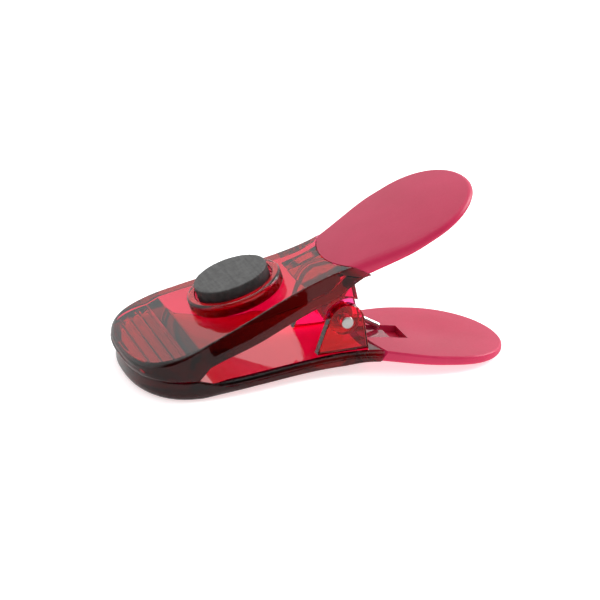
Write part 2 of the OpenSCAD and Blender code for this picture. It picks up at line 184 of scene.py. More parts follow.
# Grips: level of the outer face at the seam, seam, rise in degrees, thickness at the seam and the tip, tip
Pad = namedtuple("Pad", "level seam rise thick tip_thick reach")
UPPER_PAD = Pad(UPPER_TOP, 1.6, 7.6, 4.3, 2.1, 41.0)
LOWER_PAD = Pad(9.6, 4.8, 6.0, 3.2, 2.7, 42.1)
GRIP_WIDTH = 36.0
GRIP_FLARE = 22.0
GRIP_SHOULDER = 25.0
GRIP_FULLER, GRIP_THINNER = 0.4, 0.4
GRIP_STEPS, TIP_STEPS, TIP_POWER = 56, 60, 0.96
CROWN, TIP_DROP, TIP_RUN = 0.55, 0.75, 13.0
DISH_PLACE, DISH_SIZE = 25.0, 9.0
TOP_RINGS, UNDER_RINGS = (5.0, 3.8, 2.7), (2.4, 4.5)
TOP_ROLL_MOST, UNDER_ROLL_MOST, UNDER_ROLL = 0.62, 0.36, 0.6
UPPER_ROLL, LOWER_ROLL, LOWER_DISH = 2.0, 1.0, 0.45
SLOT_FRONT = 2.0
SLOT_HALF = 4.5
SLOT_STEP = 13.6
SLOT_END = 17.6
SLOT_DEPTH = 1.9
SLOT_LAP = 0.01

# Seams: a cone that parts each grip from its arm
UPPER_SEAM = 24.0
LOWER_SEAM = 40.0
SEAM_SLANT = math.tan(math.radians(27))
SEAM_GROOVE = 0.3
SEAM_CLEAR = 0.04
CONE_REACH, CONE_STEPS = 14.0, 720

# The frame at rest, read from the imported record
record = frame["record"]
pin_place = Vector(record["behaviour"]["joints"][0]["pos_m"])
face_axis = [m for m in record["mounts"] if m["name"] == "magnet_face"][0]["axis"]
REST = math.atan2(-face_axis[0], face_axis[2]) - LEAN
FOOT_BACK = KEEL_DROP + (NOSE_REST - KEEL_FLAT)*math.tan(REST)


def turn(angle):
    c, s = math.cos(angle), math.sin(angle)
    return Matrix(((c, 0, -s, 0), (0, 1, 0, 0), (s, 0, c, 0), (0, 0, 0, 1)))


LOWER_FRAME = Matrix.Translation(pin_place) @ turn(REST) @ Matrix.Scale(MM, 4)
UPPER_FRAME = Matrix.Translation(pin_place) @ turn(REST + LEAN) @ Matrix.Scale(MM, 4)
FLIP = Matrix.Diagonal((1, 1, -1, 1))
ROOF_FRAME = UPPER_FRAME @ Matrix.Translation((-MAGNET_BACK, 0, UPPER_TOP))


# Levels and widths along the clip
def smooth(t):
    t = min(1.0, max(0.0, t))
    return t*t*(3 - 2*t)


def half_width(s):
    if s < 0:
        return (WAIST + (NOSE_WIDTH - WAIST)*smooth(-s/NOSE_WIDEST))/2
    return (WAIST + (GRIP_WIDTH - WAIST)*smooth(s/GRIP_FLARE))/2


def pad_out(pad, s):
    return pad.level + math.tan(math.radians(pad.rise))*(s - pad.seam)


def pad_thickness(pad, s):
    return pad.thick + (pad.tip_thick - pad.thick)*(s - pad.seam)/(pad.reach - pad.seam)


def pad_in(pad, s):
    return pad_out(pad, s) - pad_thickness(pad, s)


def bite_level(s):
    return (UPPER_BITE - s*math.sin(LEAN))/math.cos(LEAN)


def upper_foot(x):
    tail = UPPER_PAD.seam + ARM_DEPTH
    deep = ARM_FOOT - WALL_DROP
    if x > FOOT_RISE:
        return deep + (pad_in(UPPER_PAD, tail) - deep)*min(1.0, (x - FOOT_RISE)/(tail - FOOT_RISE))
    if x > BITE_FOOT:
        return ARM_FOOT - WALL_DROP*smooth((x - DROP_START)/DROP_RUN)
    if x > -BITE_BACK:
        t = (x + BITE_BACK)/BITE_SLOPE
        return bite_level(-BITE_BACK)*(1 - t) + ARM_FOOT*t
    return bite_level(x)


def lower_top(x):
    return float(np.interp(x, (-BITE_BACK, BITE_FOOT, -RISE_START, LOWER_PAD.seam),
                           (LOWER_BITE, -FLOOR_DROP, -FLOOR_DROP, -FLOOR_DROP + TAIL_RISE)))


def lower_bottom(x):
    if x < -KEEL_FLAT:
        return -FOOT_BACK + math.tan(REST)*(-KEEL_FLAT - x)
    t = min(1.0, (x + KEEL_FLAT)/(KEEL_FLAT - KEEL_START))
    return -FOOT_BACK + (FOOT_BACK - UNDERSIDE)*t + TAIL_LIFT*smooth((x - LIFT_START)/LIFT_RUN)


def across(level):
    """A level that stays the same across the clip, as a function of x and y."""
    return lambda x, y: level(x)


# Meshes
def place(obj, matrix):
    obj.data.transform(matrix)
    if matrix.determinant() < 0:
        obj.data.flip_normals()


def make(name, verts, faces, matrix=None):
    mesh = bpy.data.meshes.new(name)
    mesh.from_pydata([tuple(v) for v in verts], [], faces)
    obj = bpy.data.objects.new(name, mesh)
    bpy.context.scene.collection.objects.link(obj)
    bm = bmesh.new()
    bm.from_mesh(mesh)
    bmesh.ops.remove_doubles(bm, verts=bm.verts, dist=1e-5)
    bmesh.ops.dissolve_degenerate(bm, edges=bm.edges, dist=1e-6)
    bmesh.ops.recalc_face_normals(bm, faces=bm.faces)
    bm.to_mesh(mesh)
    bm.free()
    if matrix is not None:
        place(obj, matrix)
    return obj


def loft(name, rows, matrix=None, closed_end=False):
    """Rows of points, each row a closed loop, joined by quads; the first row is capped."""
    m = len(rows[0])
    verts = [p for row in rows for p in row]
    faces = [tuple(range(m))]
    for i in range(len(rows) - 1):
        for j in range(m):
            a, b = i*m + j, i*m + (j + 1) % m
            faces.append((a, b, b + m, a + m))
    if closed_end:
        faces.append(tuple((len(rows) - 1)*m + j for j in reversed(range(m))))
    return make(name, verts, faces, matrix)


def between(name, first, second, matrix=None):
    """A solid between two outlines of as many points."""
    n = len(first)
    faces = [tuple(range(n)), tuple(n + j for j in reversed(range(n)))]
    faces += [(j, (j + 1) % n, n + (j + 1) % n, n + j) for j in range(n)]
    return make(name, list(first) + list(second), faces, matrix)


def prism(name, outline, low, high, bevel=0.0, segments=2):
    """An outline in X and Z, extruded across the clip from low to high, with eased edges."""
    obj = between(name, [(x, low, z) for x, z in outline], [(x, high, z) for x, z in outline])
    if bevel:
        bm = bmesh.new()
        bm.from_mesh(obj.data)
        corner = math.radians(40)
        sharp = [e for e in bm.edges if len(e.link_faces) == 2 and e.calc_face_angle(0) > corner]
        bmesh.ops.bevel(bm, geom=sharp, offset=bevel, segments=segments, profile=0.5,
                        affect="EDGES", clamp_overlap=True)
        bm.to_mesh(obj.data)
        bm.free()
    return obj


def spin(name, profiles, matrix=None):
    """A solid turned about Z: one profile of radius and height for each step, from axis to axis."""
    steps, m = len(profiles), len(profiles[0])
    verts, faces = [], []
    for i, profile in enumerate(profiles):
        a = 2*math.pi*i/steps
        verts += [(r*math.cos(a), r*math.sin(a), z) for r, z in profile]
        k = (i + 1) % steps
        faces += [(i*m + j, i*m + j + 1, k*m + j + 1, k*m + j) for j in range(m - 1)]
    return make(name, verts, faces, matrix)


def combine(target, tool, operation):
    """Joins or cuts two closed meshes and drops the second."""
    modifier = target.modifiers.new("combine", "BOOLEAN")
    modifier.operation = operation
    modifier.solver = "MANIFOLD"
    modifier.object = tool
    bpy.context.view_layer.update()
    graph = bpy.context.evaluated_depsgraph_get()
    mesh = bpy.data.meshes.new_from_object(target.evaluated_get(graph))
    target.modifiers.clear()
    old = target.data
    name = old.name
    target.data = mesh
    bpy.data.meshes.remove(old)
    mesh.name = name
    tool_mesh = tool.data
    bpy.data.objects.remove(tool)
    bpy.data.meshes.remove(tool_mesh)


def shade(obj, angle=28, weighted=True):
    for p in obj.data.polygons:
        p.use_smooth = True
    obj.data.set_sharp_from_angle(angle=math.radians(angle))
    if weighted:
        modifier = obj.modifiers.new("even_normals", "WEIGHTED_NORMAL")
        modifier.keep_sharp = True
        modifier.weight = 60
    return obj


def finished(obj, body, node, material):
    obj.data.materials.clear()
    obj.data.materials.append(material)
    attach(obj, body)
    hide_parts(node)


# Outlines: one side of an arm or grip, from its tail to the middle of its nose or tip
def nose_side(reach, half, fullness):
    out = []
    for i in range(1, NOSE_STEPS + 1):
        a = QUARTER*(1 - i/NOSE_STEPS)
        c, s = max(0.0, math.cos(a)), max(0.0, math.sin(a))
        out.append((-NOSE_WIDEST - (reach - NOSE_WIDEST)*c**(2/fullness), half*s**(2/fullness)))
    return out


def flank(inset, tail):
    stations = list(np.linspace(tail, -NOSE_WIDEST, FLANK_STEPS))
    bends = [BITE_FOOT, -KEEL_START, -KEEL_FLAT, -RISE_START]
    stations = sorted(set(round(float(s), 4) for s in stations + bends), reverse=True)
    return [(s, half_width(s) - inset) for s in stations]


def arm_side(reach, inset, tail):
    return flank(inset, tail) + nose_side(reach, NOSE_WIDTH/2 - inset, NOSE_FULLNESS)


def normals(side):
    """Outward normals of one side, square to the middle line at its end."""
    p = np.array(side)
    mirrored = np.vstack([p, [(p[-2][0], -p[-2][1])]])
    d = np.gradient(mirrored, axis=0)[:len(p)]
    d[-1] = (0, -1)
    d[0] = p[1] - p[0]
    n = np.stack([d[:, 1], -d[:, 0]], 1)
    n /= np.linalg.norm(n, axis=1)[:, None]
    if n[len(n)//2][1] < 0:
        n = -n
    n[-1] = (-1, 0) if p[-1][0] < 0 else (1, 0)
    return n


def inward(point, normal, distance, level):
    p = np.array(point) - normal*distance
    return p[0], p[1], level(p[0], p[1])


def top_edge(point, normal, radius, level, steps, inset=0.0):
    """A rounded edge from the upper face down to the wall."""
    out = []
    for k in range(steps + 1):
        a = QUARTER*k/steps
        x, y, z = inward(point, normal, inset + radius*(1 - math.sin(a)), level)
        out.append((x, y, z - radius*(1 - math.cos(a))))
    return out


def bottom_edge(point, normal, radius, level, steps):
    """A rounded edge from the wall down to the lower face."""
    out = []
    for k in range(steps + 1):
        a = QUARTER*k/steps
        x, y, z = inward(point, normal, radius*(1 - math.cos(a)), level)
        out.append((x, y, z + radius*(1 - math.sin(a))))
    return out


def row_of(far, top_columns, bottom_columns, top_level, bottom_level):
    """One closed row: far edge points from top to bottom, mirrored, with the faces between filled."""
    far = [(x, max(0.0, y), z) for x, y, z in far]
    first, last = far[0], far[-1]
    row = list(far)
    for k in range(1, bottom_columns):
        y = last[1]*(1 - 2*k/bottom_columns)
        row.append((last[0], y, bottom_level(last[0], y)))
    row += [(x, -y, z) for x, y, z in reversed(far)]
    for k in range(1, top_columns):
        y = -first[1]*(1 - 2*k/top_columns)
        row.append((first[0], y, top_level(first[0], y)))
    return row


def arc(centre, radius, start, end, steps):
    angles = [start + (end - start)*k/steps for k in range(steps + 1)]
    return [(centre[0] + radius*math.cos(a), centre[1] + radius*math.sin(a)) for a in angles]


# Tools that cut both arms
def seam_cone(name, pad, radius, margin, matrix=None, low=-CONE_REACH):
    rings = []
    for z in (CONE_REACH, low):
        middle, r = (pad.seam + radius, 0.0), radius + z*SEAM_SLANT + margin
        rings.append([(x, y, pad.level + z) for x, y in arc(middle, r, 0.0, 2*math.pi, CONE_STEPS)[:-1]])
    return between(name, *rings, matrix)


def pin_bore(radius):
    circle = arc((0.0, 0.0), radius, 0.0, 2*math.pi, BORE_STEPS)[:-1]
    return prism("bore", circle, -BORE_HALF, BORE_HALF)


def groove_cut(arm, inner, low, high, floor, mouth, slant=0.0):
    """Cuts a groove across a bite; its ends follow the outline and widen by slant for each mm of depth."""
    xs, ys = [-p[0] for p in inner], [p[1] for p in inner]
    taper = slant*(high - low)*math.tan(LEAN)
    far = [(x, float(np.interp(-x, xs, ys)) - taper) for x in np.linspace(low, high, 9)]
    far = [p for p in far if p[1] > GROOVE_LEAST]
    if len(far) < 3:
        return
    outline = far + [(x, -y) for x, y in reversed(far)]
    widening = slant*(floor - mouth)
    wide = [(x, y + math.copysign(widening, y), mouth) for x, y in outline]
    combine(arm, between("groove", [(x, y, floor) for x, y in outline], wide), "DIFFERENCE")


def touch(p, radius, side):
    """Angle at which a line from p touches a circle about the pin."""
    return math.atan2(p[1], p[0]) + side*math.acos(radius/math.hypot(*p))


def round_plate(radius, left, right):
    """Outline of a plate that is round about the pin and runs out to two corners."""
    a0, a1 = touch(left, radius, 1), touch(right, radius, -1)
    while a1 < a0:
        a1 += 2*math.pi
    return [left] + arc((0.0, 0.0), radius, a0, a1, 40) + [right]


def cheek_angle(corner, side):
    """Angle at which the flank of a lug crosses the cheek's circle."""
    start = np.array(arc((0.0, 0.0), LUG_RADIUS, touch(corner, LUG_RADIUS, side), 0.0, 1)[0])
    along = np.array(corner) - start
    along /= np.linalg.norm(along)
    x, z = start + along*math.sqrt(CHEEK_RADIUS**2 - LUG_RADIUS**2)
    return math.atan2(z, x)


def span(side, inner, outer):
    return sorted((side*inner, side*outer))


# Upper arm: a thick clear plate whose walls lean out to the foot, with rounded edges round the nose
def upper_arm_rows():
    base, crest = [], []
    for x, y in flank(0.0, ARM_TAIL + 2):
        full = smooth((FLARE_START - x)/FLARE_RUN)
        base.append((x, y + BASE_FLARE*full))
        crest.append((x, y + CREST_FLARE*full - CREST_INSET*(1 - full)))
    base += nose_side(NOSE_REACH + BASE_FLARE, NOSE_WIDTH/2 + BASE_FLARE, UPPER_FULLNESS)
    crest += nose_side(NOSE_REACH + CREST_FLARE, NOSE_WIDTH/2 + CREST_FLARE, UPPER_FULLNESS)
    roof, under = across(lambda x: UPPER_TOP), across(upper_foot)
    rows = []
    for low, high, low_n, high_n in zip(base, crest, normals(base), normals(crest)):
        nose = smooth((EASE_START - low[0])/EASE_RUN)
        roof_ease = ROOF_EASE + ROOF_EASE_NOSE*nose
        foot_ease = FOOT_EASE + FOOT_EASE_NOSE*nose
        start, foot = UPPER_TOP - roof_ease, upper_foot(low[0])
        lip = min(foot + LIP_HEIGHT, start - LIP_CLEAR)
        far = top_edge(high, high_n, roof_ease, roof, 10)
        for k in range(1, WALL_STEPS + 1):
            w = k/WALL_STEPS
            p = np.array(high)*(1 - w) + np.array(low)*w
            far.append((p[0], p[1], start + (lip - start)*w))
        far.append((*low, foot + max(foot_ease + FOOT_CLEAR, LIP_SHARE*(lip - foot))))
        far += bottom_edge(low, low_n, foot_ease, under, 6)
        rows.append(row_of(far, 6, 4, roof, under))
    return rows


def add_hinge_blocks(arm):
    front, back = (-BLOCK_FRONT, BLOCK_TOP), (BLOCK_BACK, BLOCK_TOP)
    plate = round_plate(LUG_RADIUS, front, back)
    cheek_arc = arc((0.0, 0.0), CHEEK_RADIUS, cheek_angle(front, 1), cheek_angle(back, -1), 24)
    cheek = [front] + cheek_arc + [back]
    for side in (1, -1):
        combine(arm, prism("lug", plate, *span(side, LUG_INNER, LUG_OUTER), LUG_EASE), "UNION")
        sides = span(side, LUG_OUTER - CHEEK_LAP, EAR_OUTER)
        combine(arm, prism("cheek", cheek, *sides, CHEEK_EASE), "UNION")
    line = [(x, upper_foot(x) - WITNESS_HALF) for x in WITNESS_STOPS]
    line += [(x, upper_foot(x) + WITNESS_HALF) for x in reversed(WITNESS_STOPS)]
    for side in (1, -1):
        sides = span(side, LUG_INNER + WITNESS_LAP, EAR_OUTER + WITNESS_LAP)
        combine(arm, prism("witness_line", line, *sides), "DIFFERENCE")


def upper_arm():
    arm = loft("upper_arm_clear", upper_arm_rows())
    inner = arm_side(NOSE_REACH - UPPER_RIM, UPPER_RIM, ARM_TAIL)
    for i in range(1, GROOVE_COUNT + 1):
        low = (-BITE_BACK - i*TOOTH_PITCH)*math.cos(LEAN) + UPPER_BITE*math.sin(LEAN)
        high = low + GROOVE*math.cos(LEAN)
        groove_cut(arm, inner, low, high, bite_level(low), CUT_LEVEL, GROOVE_SLANT)
    notch_top = ARM_FOOT + LEG_NOTCH
    notch = [(NOTCH_START, CUT_LEVEL), (NOTCH_END, CUT_LEVEL), (NOTCH_END, notch_top), (NOTCH_START, notch_top)]
    combine(arm, prism("notch", notch, -SLOT_HALF, SLOT_HALF), "DIFFERENCE")
    add_hinge_blocks(arm)
    combine(arm, seam_cone("cone", UPPER_PAD, UPPER_SEAM, 0.0), "DIFFERENCE")
    groove = seam_cone("seam_groove", UPPER_PAD, UPPER_SEAM, SEAM_GROOVE, low=-SEAM_GROOVE)
    combine(arm, groove, "DIFFERENCE")
    combine(arm, pin_bore(PIN_RADIUS + RUNNING_FIT), "DIFFERENCE")
    place(arm, UPPER_FRAME)
    return shade(arm)


# Lower arm: a plate with a thick rounded nose, ears for the pin, a grooved bite and a tongue under the grip
def lower_arm_rows():
    base = arm_side(LOWER_REACH, 0.0, ARM_TAIL + 2)
    top, bottom = across(lower_top), across(lower_bottom)
    rows = []
    for point, normal in zip(base, normals(base)):
        x = point[0]
        nose = smooth((BITE_FOOT + SHOULDER_FADE - x)/SHOULDER_FADE)
        shoulder, ledge = SHOULDER - SHOULDER_LOSS*nose, LEDGE*(1 - nose)
        ease = BOTTOM_EASE + BOTTOM_EASE_NOSE*smooth((BOTTOM_START - x)/BOTTOM_RUN)
        far = top_edge(point, normal, shoulder, top, 8, ledge)
        far.append((*point, lower_top(x) - shoulder - LEDGE_STEP))
        far += bottom_edge(point, normal, ease, bottom, 8)
        rows.append(row_of(far, 4, 6, top, bottom))
    return rows


def lower_arm():
    arm = loft("lower_arm_clear", lower_arm_rows())
    inner = arm_side(LOWER_REACH - LOWER_RIM, LOWER_RIM, ARM_TAIL)
    for i in range(1, GROOVE_COUNT + 1):
        low = -BITE_BACK - i*TOOTH_PITCH
        groove_cut(arm, inner, low, low + GROOVE, LOWER_BITE - TOOTH_DEPTH, 0.0)
    foot = -(FLOOR_DROP + PLATE/2)
    plate = round_plate(EAR_RADIUS, (EAR_BACK, foot), (-EAR_FRONT, foot))
    for side in (1, -1):
        ear = prism("ear", plate, *span(side, EAR_INNER, EAR_OUTER), EAR_EASE, segments=3)
        combine(arm, ear, "UNION")
    combine(arm, seam_cone("cone", LOWER_PAD, LOWER_SEAM, 0.0, FLIP), "DIFFERENCE")
    cover = [(s, -(pad_in(LOWER_PAD, s) + TONGUE_COVER)) for s in (TONGUE_START, SLOT_STEP)]
    tongue = cover + [(s, z - TONGUE_THICK) for s, z in reversed(cover)]
    combine(arm, prism("tongue", tongue, -TONGUE_HALF, TONGUE_HALF), "UNION")
    combine(arm, pin_bore(PIN_RADIUS + PRESS_FIT), "DIFFERENCE")
    place(arm, LOWER_FRAME)
    return shade(arm)


# A grip: a crowned pad with rolled edges, cut on the cone of its seam
def grip(name, pad, roll, dish, radius):
    side = []
    for s in np.linspace(0.0, GRIP_SHOULDER, GRIP_STEPS):
        side.append((s, half_width(s) + GRIP_FULLER*smooth(s/GRIP_SHOULDER)))
    for i in range(1, TIP_STEPS + 1):
        a = QUARTER*(1 - i/TIP_STEPS)
        side.append((GRIP_SHOULDER + (pad.reach - GRIP_SHOULDER)*math.cos(a)**TIP_POWER,
                     (GRIP_WIDTH/2 + GRIP_FULLER)*math.sin(a)**TIP_POWER))

    def outer(x, y):
        edge = CROWN*(y/(GRIP_WIDTH/2))**2
        run = max(0.0, (x - (pad.reach - TIP_RUN))/TIP_RUN)
        return pad_out(pad, x) - edge - TIP_DROP*run**2

    def inner(x, y):
        hollow = math.exp(-((x - DISH_PLACE)/DISH_SIZE)**2 - (y/DISH_SIZE)**2)
        return pad_in(pad, x) + dish*hollow

    rows = []
    for point, normal in zip(side, normals(side)):
        thick = pad_thickness(pad, point[0]) - GRIP_THINNER
        top_roll = min(roll, thick*TOP_ROLL_MOST)
        under_roll = min(roll*UNDER_ROLL, thick*UNDER_ROLL_MOST)
        far = [inward(point, normal, d, outer) for d in TOP_RINGS]
        far += top_edge(point, normal, top_roll, outer, 8)
        far += bottom_edge(point, normal, under_roll, inner, 5)
        far += [inward(point, normal, d, inner) for d in UNDER_RINGS]
        rows.append(row_of(far, 16, 16, outer, inner))
    obj = loft(name, rows)
    combine(obj, seam_cone("cone", pad, radius, SEAM_CLEAR), "INTERSECT")
    return obj


def upper_grip():
    obj = grip("upper_grip_soft", UPPER_PAD, UPPER_ROLL, 0.0, UPPER_SEAM)
    place(obj, UPPER_FRAME)
    return shade(obj, 40)


def lower_grip():
    obj = grip("lower_grip_soft", LOWER_PAD, LOWER_ROLL, LOWER_DISH, LOWER_SEAM)
    slots = ((SLOT_FRONT, SLOT_STEP + SLOT_LAP, TONGUE_COVER + SLOT_LAP), (SLOT_STEP, SLOT_END, SLOT_DEPTH))
    for start, end, depth in slots:
        outline = [(start, 0.0), (end, 0.0)]
        outline += [(s, pad_in(LOWER_PAD, s) + depth) for s in (end, start)]
        combine(obj, prism("slot", outline, -SLOT_HALF, SLOT_HALF), "DIFFERENCE")
    place(obj, LOWER_FRAME @ FLIP)
    return shade(obj, 40)


# Steel pin with eased ends
def pivot_pin():
    shoulder, straight = PIN_RADIUS - PIN_EASE, PIN_HALF - PIN_EASE
    profile = [(0.0, -PIN_HALF)]
    profile += arc((shoulder, -straight), PIN_EASE, -QUARTER, 0.0, 6)
    profile += [(PIN_RADIUS, -straight + 2*straight*k/12) for k in range(1, 12)]
    profile += arc((shoulder, straight), PIN_EASE, 0.0, QUARTER, 6)
    profile.append((0.0, PIN_HALF))
    lie = Matrix.Rotation(math.radians(90), 4, "X")
    return shade(spin("pivot_pin_turned", [profile]*96, LOWER_FRAME @ lie), 50)


# Torsion spring: round wire, turns between the lugs and a leg to each arm
def leg_drop(pad):
    """Height of the wire's middle over a grip's inner face."""
    lean = math.atan(pad_in(pad, pad.seam + 1) - pad_in(pad, pad.seam))
    return (LEG_CLEAR + WIRE/2)/math.cos(lean)


def straight_line(start, end, low, high, count):
    return [start + (end - start)*t for t in np.linspace(low, high, count)]


def spring_line():
    """Points along the middle of the wire, from the lower leg's end to the upper leg's end."""
    ux, uz = UPPER_LEG_END, pad_in(UPPER_PAD, UPPER_LEG_END) - leg_drop(UPPER_PAD)
    upper_end = (ux*math.cos(LEAN) - uz*math.sin(LEAN), ux*math.sin(LEAN) + uz*math.cos(LEAN))
    lower_tangent = touch(KNEE, COIL_RADIUS, -1)
    upper_tangent = touch(upper_end, COIL_RADIUS, 1)
    sweep = lower_tangent + 2*math.pi - upper_tangent + 2*math.pi*COIL_TURNS
    lower_level = leg_drop(LOWER_PAD) - pad_in(LOWER_PAD, LOWER_LEG_END) - TONGUE_COVER
    start = np.array((LOWER_LEG_END, LEG_SIDE, lower_level))
    knee = np.array((KNEE[0], LEG_SIDE, KNEE[1]))
    coil = []
    steps = int(COIL_STEPS*sweep/(2*math.pi))
    for i in range(steps + 1):
        t = i/steps
        q = lower_tangent - sweep*t
        coil.append(np.array((COIL_RADIUS*math.cos(q), LEG_SIDE*(1 - 2*t), COIL_RADIUS*math.sin(q))))
    toward, away = start - knee, coil[0] - knee
    bend_in = knee + toward/np.linalg.norm(toward)*KNEE_BEND
    bend_out = knee + away/np.linalg.norm(away)*KNEE_BEND
    line = straight_line(start, bend_in, 0.0, 0.95, 9)
    line += [bend_in*(1 - t)**2 + knee*2*t*(1 - t) + bend_out*t**2 for t in np.linspace(0, 1, 12)]
    line += straight_line(bend_out, coil[0], 0.15, 0.9, 8) + coil
    line += straight_line(coil[-1], np.array((upper_end[0], -LEG_SIDE, upper_end[1])), 0.06, 1.0, 16)
    return np.array(line)


def torsion_spring():
    line = spring_line()
    tangents = np.gradient(line, axis=0)
    tangents /= np.linalg.norm(tangents, axis=1)[:, None]

    def ring(i, radius, along):
        out = np.cross(tangents[i], (0, 1, 0))
        out /= np.linalg.norm(out)
        up = np.cross(out, tangents[i])
        middle = line[i] + tangents[i]*along
        circle = arc((0.0, 0.0), radius, 0.0, 2*math.pi, WIRE_SIDES)[:-1]
        return [tuple(middle + a*out + b*up) for a, b in circle]

    r, last = WIRE/2, len(line) - 1
    rows = [ring(0, r - step, along) for step, along in WIRE_ENDS]
    rows += [ring(i, r, 0.0) for i in range(1, last)]
    rows += [ring(last, r - step, -along) for step, along in reversed(WIRE_ENDS)]
    obj = loft("torsion_spring_wire", rows, LOWER_FRAME, closed_end=True)
    return shade(obj, 50, weighted=False)


# Cup with a rounded rim and a small step at its foot
def magnet_cup():
    foot = CUP_RADIUS - CUP_STEP
    profile = [(0.0, CUP_LIFT), (foot, CUP_LIFT), (foot, CUP_STEP_TOP)]
    skirt = (CUP_RADIUS - CUP_SKIRT_EASE, CUP_SKIRT + CUP_SKIRT_EASE)
    profile += arc(skirt, CUP_SKIRT_EASE, -QUARTER, 0.0, 5)
    profile += arc((CUP_RADIUS - RIM_OUT, CUP_HEIGHT - RIM_OUT), RIM_OUT, 0.0, QUARTER, 12)
    profile += arc((CUP_BORE + RIM_IN, CUP_HEIGHT - RIM_IN), RIM_IN, QUARTER, 2*QUARTER, 10)
    corner = (CUP_BORE - CUP_FLOOR_EASE, CUP_FLOOR + CUP_FLOOR_EASE)
    profile += arc(corner, CUP_FLOOR_EASE, 0.0, -QUARTER, 4)
    profile.append((0.0, CUP_FLOOR))
    return shade(spin("magnet_cup_clear", [profile]*180, ROOF_FRAME), 40)


# Glue: a thin bead with an uneven edge
def magnet_adhesive():
    steps = 120
    low, high = CUP_FLOOR + GLUE_CLEAR, CUP_FLOOR + GLUE - GLUE_CLEAR
    profiles = []
    for i in range(steps):
        a = 2*math.pi*i/steps
        edge = MAGNET_RADIUS - GLUE_INSET + sum(size*math.sin(n*a + phase) for size, n, phase in GLUE_WAVES)
        profiles.append([(0.0, low), (edge - GLUE_ROUND, low), (edge, CUP_FLOOR + GLUE_MIDDLE),
                         (edge - GLUE_ROUND, high), (0.0, high)])
    return shade(spin("glue_bead", profiles, ROOF_FRAME), 40)


# Magnet: a disc with an eased edge and small chips along its rim
def magnet():
    bottom, top = CUP_FLOOR + GLUE, CUP_FLOOR + GLUE + MAGNET_HEIGHT
    wall = bottom + MAGNET_CHAMFER
    flat = MAGNET_RADIUS - MAGNET_EASE
    profile = [(0.0, bottom), (MAGNET_RADIUS - MAGNET_CHAMFER, bottom), (MAGNET_RADIUS, wall)]
    profile += [(MAGNET_RADIUS, wall + (MAGNET_HEIGHT - 2*MAGNET_CHAMFER)*k/6) for k in range(1, 6)]
    profile += arc((flat, top - MAGNET_EASE), MAGNET_EASE, 0.0, QUARTER, 5)
    profile += [(flat - (MAGNET_RADIUS - 0.4)*k/10, top) for k in range(1, 10)]
    profile.append((0.0, top))
    obj = spin("magnet_disc", [profile]*240)
    for v in obj.data.vertices:
        r = math.hypot(v.co.x, v.co.y)
        if r > flat - 0.02 and v.co.z > top - 0.7:
            a = math.atan2(v.co.y, v.co.x)
            chip = 0.05*max(0.0, math.sin(17*a + 1.0)*math.sin(29*a)) + 0.03*max(0.0, math.sin(53*a))
            v.co.x *= (r - chip)/r
            v.co.y *= (r - chip)/r
            v.co.z -= 0.4*chip
    place(obj, ROOF_FRAME)
    return shade(obj, 35)


# Shader nodes
def node_material(name):
    material = bpy.data.materials.new(name)
    material.use_nodes = True
    tree = material.node_tree
    return material, tree, tree.nodes["Principled BSDF"]


def calc(tree, operation, *values, clamp=False):
    """A maths node; each value is a number or another node's output."""
    node = tree.nodes.new("ShaderNodeMath")
    node.operation = operation
    node.use_clamp = clamp
    for value, socket in zip(values, node.inputs):
        if isinstance(value, float):
            socket.default_value = value
        else:
            tree.links.new(value, socket)
    return node.outputs[0]


def noise(tree, coords, scale, detail, roughness=0.55):
    n = tree.nodes.new("ShaderNodeTexNoise")
    n.inputs["Scale"].default_value = scale
    n.inputs["Detail"].default_value = detail
    n.inputs["Roughness"].default_value = roughness
    tree.links.new(coords, n.inputs["Vector"])
    return n.outputs["Fac"]


def spread(tree, value, low, high, start=0.0, end=1.0, interpolation="LINEAR"):
    """Maps the span from start to end onto the span from low to high."""
    m = tree.nodes.new("ShaderNodeMapRange")
    m.interpolation_type = interpolation
    m.inputs["From Min"].default_value = start
    m.inputs["From Max"].default_value = end
    m.inputs["To Min"].default_value = low
    m.inputs["To Max"].default_value = high
    tree.links.new(value, m.inputs["Value"])
    return m.outputs["Result"]


def ramp(tree, fac, first, second):
    """A blend between two colours, each with the position where it is full."""
    r = tree.nodes.new("ShaderNodeValToRGB")
    for element, (position, colour) in zip(r.color_ramp.elements, (first, second)):
        element.position = position
        element.color = (*colour, 1)
    tree.links.new(fac, r.inputs["Fac"])
    return r.outputs["Color"]


def bump(tree, shader, height, strength, distance):
    b = tree.nodes.new("ShaderNodeBump")
    b.inputs["Strength"].default_value = strength
    b.inputs["Distance"].default_value = distance
    tree.links.new(height, b.inputs["Height"])
    tree.links.new(b.outputs["Normal"], shader.inputs["Normal"])


def object_place(tree):
    return tree.nodes.new("ShaderNodeTexCoord").outputs["Object"]


# Materials
def clear_red(name, colour, density, ripple):
    """Clear plastic that absorbs light with depth; ripple roughens its surface."""
    material, tree, shader = node_material(name)
    coords = object_place(tree)
    shader.inputs["Base Color"].default_value = (1, 1, 1, 1)
    shader.inputs["Transmission Weight"].default_value = 1.0
    shader.inputs["IOR"].default_value = 1.5
    grain = noise(tree, coords, scale=900, detail=3)
    tree.links.new(spread(tree, grain, 0.0, 0.05), shader.inputs["Roughness"])
    swirl = noise(tree, coords, scale=120 + 2000*ripple, detail=2)
    bump(tree, shader, swirl, strength=0.02 + ripple, distance=0.0002)
    absorb = tree.nodes.new("ShaderNodeVolumeAbsorption")
    absorb.inputs["Color"].default_value = (*colour, 1)
    absorb.inputs["Density"].default_value = density
    tree.links.new(absorb.outputs["Volume"], tree.nodes["Material Output"].inputs["Volume"])
    return material


